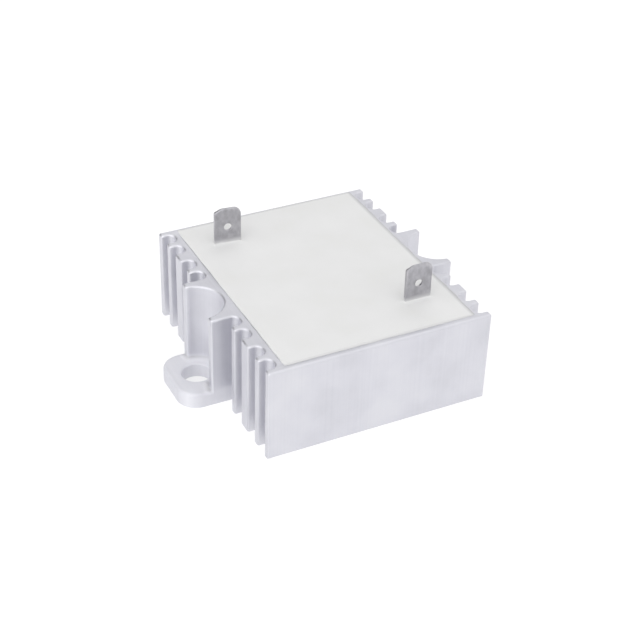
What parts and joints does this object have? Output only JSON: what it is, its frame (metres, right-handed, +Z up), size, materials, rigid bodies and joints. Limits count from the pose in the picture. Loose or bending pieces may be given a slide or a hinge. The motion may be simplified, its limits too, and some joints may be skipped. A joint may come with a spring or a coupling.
{
  "type": "precharge resistor",
  "caption": "Wirewound power resistor potted in a finned aluminium case, with screw lugs at its sides and upright push-on terminals.",
  "frame": {"origin": "middle of the case's foot, on the surface that it is bolted to", "axes": "+X from the left lug to the right lug, +Y from the front plate to the back plate, +Z up through the potted side, the way the terminals point"},
  "size_m": [0.0724, 0.061, 0.0314],
  "materials": {
    "case_aluminium": "plain drawn metal, matt",
    "potting_cement": "cast cement, matt and fine-grained",
    "mica": "pressed mica sheet",
    "rod_ceramic": "unglazed fired ceramic",
    "winding_coat": "matt cement coat over resistance wire",
    "cap_steel": "plated steel",
    "tinned_strip": "stamped brass strip with a dull tin coat"
  },
  "bodies": {
    "root": {"housing": "case_aluminium", "potting": "potting_cement", "base_insulator": "mica", "front_cradle": "rod_ceramic", "rear_cradle": "rod_ceramic", "left_core": "rod_ceramic", "left_winding": "winding_coat", "left_front_cap": "cap_steel", "left_rear_cap": "cap_steel", "middle_core": "rod_ceramic", "middle_winding": "winding_coat", "middle_front_cap": "cap_steel", "middle_rear_cap": "cap_steel", "right_core": "rod_ceramic", "right_winding": "winding_coat", "right_front_cap": "cap_steel", "right_rear_cap": "cap_steel", "front_link": "cap_steel", "rear_link": "cap_steel", "front_terminal": "tinned_strip", "rear_terminal": "tinned_strip"}
  },
  "joints": []
}
